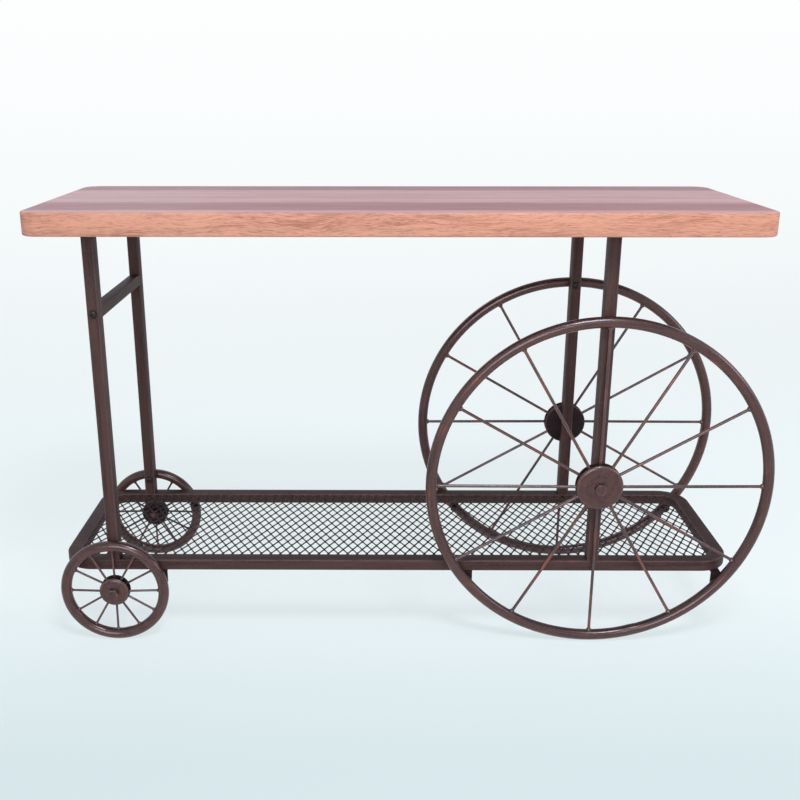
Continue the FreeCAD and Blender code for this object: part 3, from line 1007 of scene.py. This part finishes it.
def make_backdrop(context):
    """A floor that sweeps up into a wall behind the table."""
    bm = bmesh.new()
    start, fold, top, breadth, sweep = -40.0, 5.0, 7.0, 80.0, 2.4
    made = bmesh.ops.create_grid(bm, x_segments=1, y_segments=1, size=0.5)
    bmesh.ops.scale(bm, vec=(breadth, fold - start, 1.0), verts=made["verts"])
    bmesh.ops.translate(bm, vec=(0, (start + fold) / 2, 0), verts=made["verts"])
    back = [edge for edge in bm.edges if all(vert.co.y > fold - LEVEL for vert in edge.verts)]
    wall = bmesh.ops.extrude_edge_only(bm, edges=back)
    bmesh.ops.translate(bm, vec=(0, 0, top), verts=verts_of(wall))
    bevel(bm, back, sweep, SWEEP_STEPS)
    bmesh.ops.recalc_face_normals(bm, faces=bm.faces)
    mesh = bpy.data.meshes.new("studio_backdrop")
    bm.to_mesh(mesh)
    bm.free()
    mesh.shade_smooth()
    mesh.materials.append(studio_paper("studio_paper"))
    backdrop = bpy.data.objects.new("studio_backdrop", mesh)
    context.collection.objects.link(backdrop)


def make_lights(context):
    """A soft key from above, a wide fill from the front left, and weak lamps behind and at the right."""
    for name, spot, breadth, power in LAMPS:
        lamp = bpy.data.lights.new(name, "AREA")
        lamp.color = LAMP_TINT
        lamp.size = breadth
        lamp.energy = power
        light = bpy.data.objects.new(name, lamp)
        light.location = spot
        light.rotation_euler = (LAMP_AIM - Vector(spot)).to_track_quat("-Z", "Y").to_euler()
        context.collection.objects.link(light)


def make_sky(context):
    """A sky that gives weak even light, and shows as plain as the backdrop's top."""
    world = bpy.data.worlds.new("studio_sky")
    world.use_nodes = True
    world.node_tree.nodes.clear()
    shade = Shade(world.node_tree)
    plain_tint = context.scene.cart_table_finishes.floor_far
    soft = shade.add("ShaderNodeBackground", sockets={"Color": opaque(SKY_TINT), "Strength": SKY_STRENGTH})
    plain = shade.add("ShaderNodeBackground", sockets={"Color": opaque(plain_tint), "Strength": 1.0})
    surface = shade.add("ShaderNodeMixShader", sockets={0: seen_directly(shade), 1: soft, 2: plain})
    shade.add("ShaderNodeOutputWorld", sockets={"Surface": surface})
    context.scene.world = world


def make_camera(context):
    """A camera at eye level before the table, a little left of its middle, that looks down on it."""
    lens = bpy.data.cameras.new("table_camera")
    lens.sensor_width = 36.0
    lens.lens = 44.86
    lens.shift_x = 0.0347
    lens.shift_y = -0.004
    camera = bpy.data.objects.new("table_camera", lens)
    camera.location = (-0.05776, -1.76741, 0.96937)
    down, aside = 17.65, 0.34
    camera.rotation_euler = (math.radians(90.0 - down), 0.0, math.radians(aside))
    context.collection.objects.link(camera)
    context.scene.camera = camera
    context.scene.view_settings.view_transform = "Standard"


class CARTTABLE_PT_panel(bpy.types.Panel):
    """Lists the sizes, the colours and the pieces of the table"""

    bl_idname = "CARTTABLE_PT_panel"
    bl_label = "Cart Table"
    bl_space_type = "VIEW_3D"
    bl_region_type = "UI"
    bl_category = "Cart Table"

    def draw(self, context):
        for group in (context.scene.cart_table_sizes, context.scene.cart_table_finishes):
            box = self.layout.box()
            for name in group.__annotations__:
                box.prop(group, name)
        for operator in OPERATORS:
            self.layout.operator(operator.bl_idname)


OPERATORS = (
    CARTTABLE_OT_stage,
    CARTTABLE_OT_top,
    CARTTABLE_OT_legs,
    CARTTABLE_OT_shelf_frame,
    CARTTABLE_OT_mesh,
    CARTTABLE_OT_rims,
    CARTTABLE_OT_spokes,
    CARTTABLE_OT_hubs,
    CARTTABLE_OT_bolts,
)
CLASSES = (CartTableSizes, CartTableFinishes, *OPERATORS, CARTTABLE_PT_panel)


def register():
    for group in CLASSES:
        bpy.utils.register_class(group)
    bpy.types.Scene.cart_table_sizes = PointerProperty(type=CartTableSizes)
    bpy.types.Scene.cart_table_finishes = PointerProperty(type=CartTableFinishes)


def unregister():
    del bpy.types.Scene.cart_table_finishes
    del bpy.types.Scene.cart_table_sizes
    for group in reversed(CLASSES):
        bpy.utils.unregister_class(group)


def main():
    """Makes the studio and the pieces of the table."""
    register()
    bpy.ops.cart_table.stage()
    bpy.ops.cart_table.top()
    bpy.ops.cart_table.legs()
    bpy.ops.cart_table.shelf_frame()
    bpy.ops.cart_table.mesh()
    bpy.ops.cart_table.rims()
    bpy.ops.cart_table.spokes()
    bpy.ops.cart_table.hubs()
    bpy.ops.cart_table.bolts()


if __name__ == "__main__":
    main()
